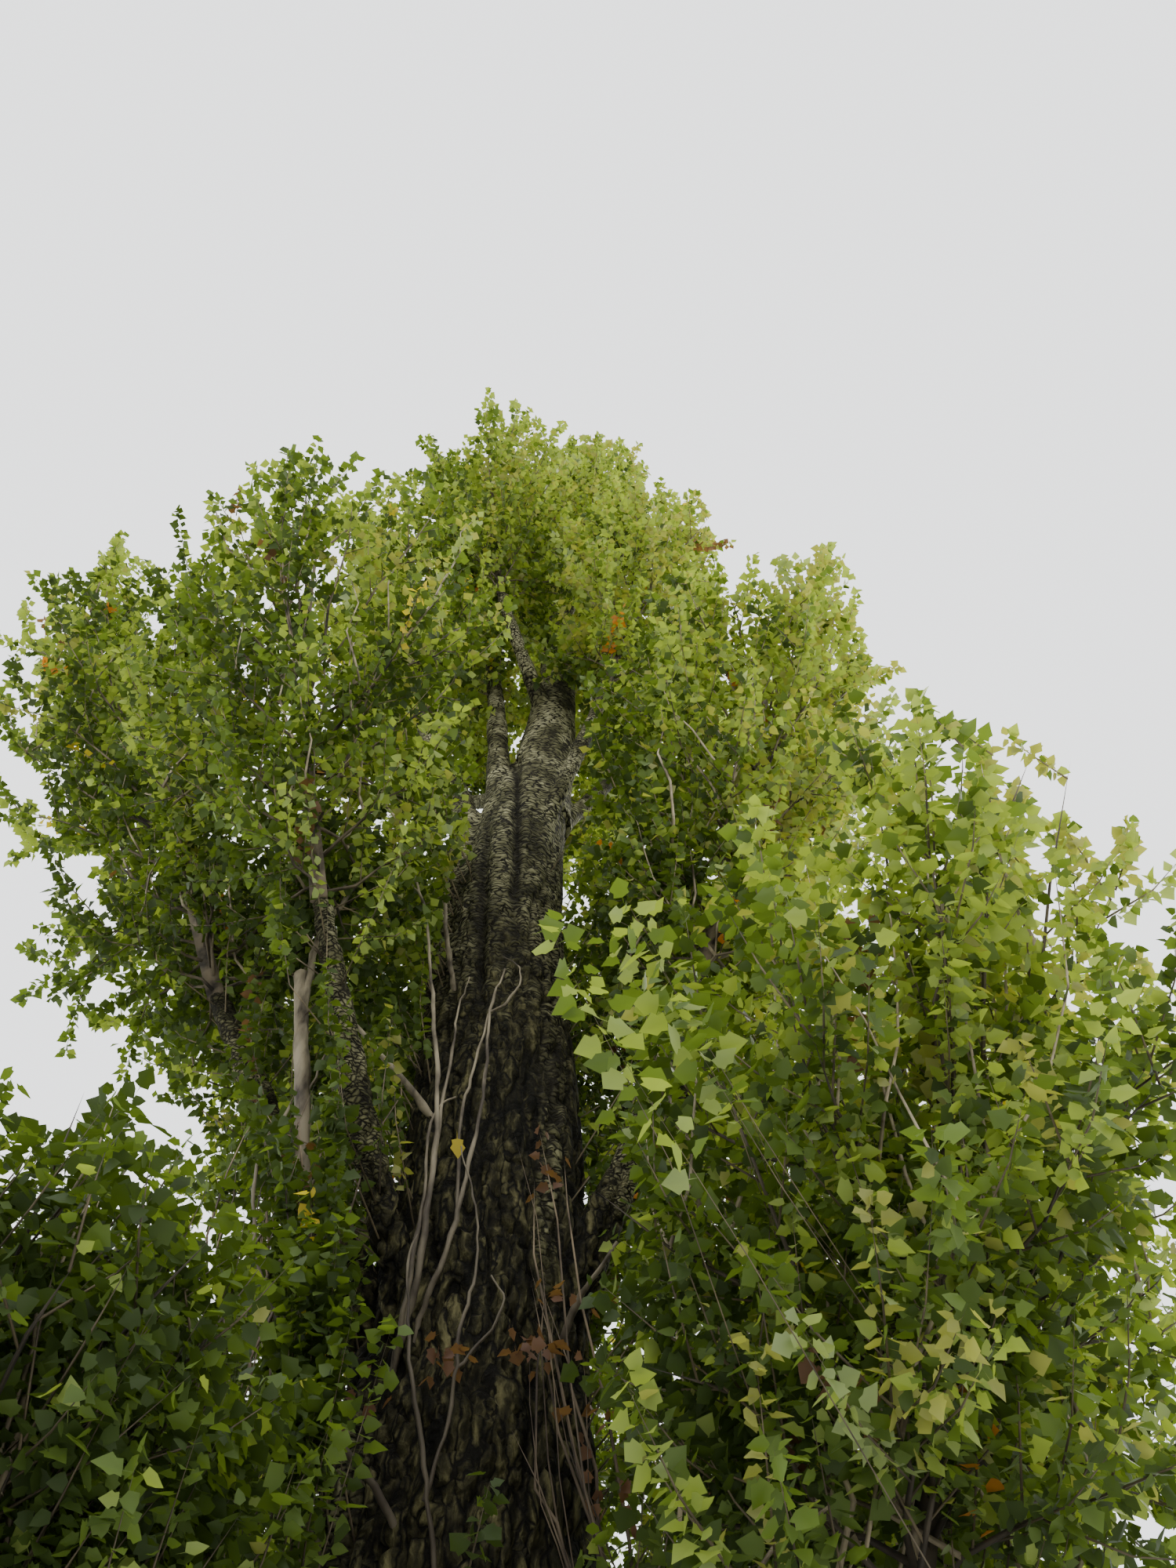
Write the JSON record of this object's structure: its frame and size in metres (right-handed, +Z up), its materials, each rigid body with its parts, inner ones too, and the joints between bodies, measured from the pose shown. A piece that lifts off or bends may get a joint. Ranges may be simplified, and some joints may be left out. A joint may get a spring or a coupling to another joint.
{
  "type": "upright poplar tree",
  "caption": "Tall narrow poplar with a flared trunk that forks, steeply rising boughs and upright plumes of leaves, bare of foliage low on one side.",
  "frame": {"origin": "on the trunk's axis in the flat cut at ground level", "axes": "+Z up along the tree, -Y towards the side with the bare trunk, +X to the right seen from there"},
  "size_m": [7.3858, 5.8964, 23.5249],
  "materials": {
    "trunk_bark": "dark, deeply furrowed bark",
    "limb_bark": "pale grey bark with dark cross cracks",
    "foliage": "matt green leaves, some turning yellow"
  },
  "bodies": {
    "root": {"trunk": "trunk_bark", "leader_main": "limb_bark", "leader_middle": "limb_bark", "stem_left": "limb_bark", "bough_low_1": "limb_bark", "bough_low_2": "limb_bark", "bough_low_3": "limb_bark", "bough_low_4": "limb_bark", "bough_low_5": "limb_bark", "bough_low_6": "limb_bark", "bough_low_7": "limb_bark", "bough_mid_1": "limb_bark", "bough_mid_2": "limb_bark", "bough_mid_3": "limb_bark", "bough_mid_4": "limb_bark", "bough_mid_5": "limb_bark", "bough_mid_6": "limb_bark", "bough_mid_7": "limb_bark", "bough_top_1": "limb_bark", "bough_top_3": "limb_bark", "bough_upper_1": "limb_bark", "bough_upper_2": "limb_bark", "bough_upper_3": "limb_bark", "bough_upper_4": "limb_bark", "bough_upper_6": "limb_bark", "foliage_low_1": "foliage", "foliage_low_2": "foliage", "foliage_low_3": "foliage", "foliage_low_4": "foliage", "foliage_low_5": "foliage", "foliage_low_6": "foliage", "foliage_low_7": "foliage", "foliage_mid_1": "foliage", "foliage_mid_2": "foliage", "foliage_mid_3": "foliage", "foliage_mid_4": "foliage", "foliage_mid_5": "foliage", "foliage_mid_6": "foliage", "foliage_mid_7": "foliage", "foliage_tip": "foliage", "foliage_top_1": "foliage", "foliage_top_2": "foliage", "foliage_top_3": "foliage", "foliage_upper_1": "foliage", "foliage_upper_2": "foliage", "foliage_upper_3": "foliage", "foliage_upper_4": "foliage", "foliage_upper_5": "foliage", "foliage_upper_6": "foliage"}
  },
  "joints": []
}
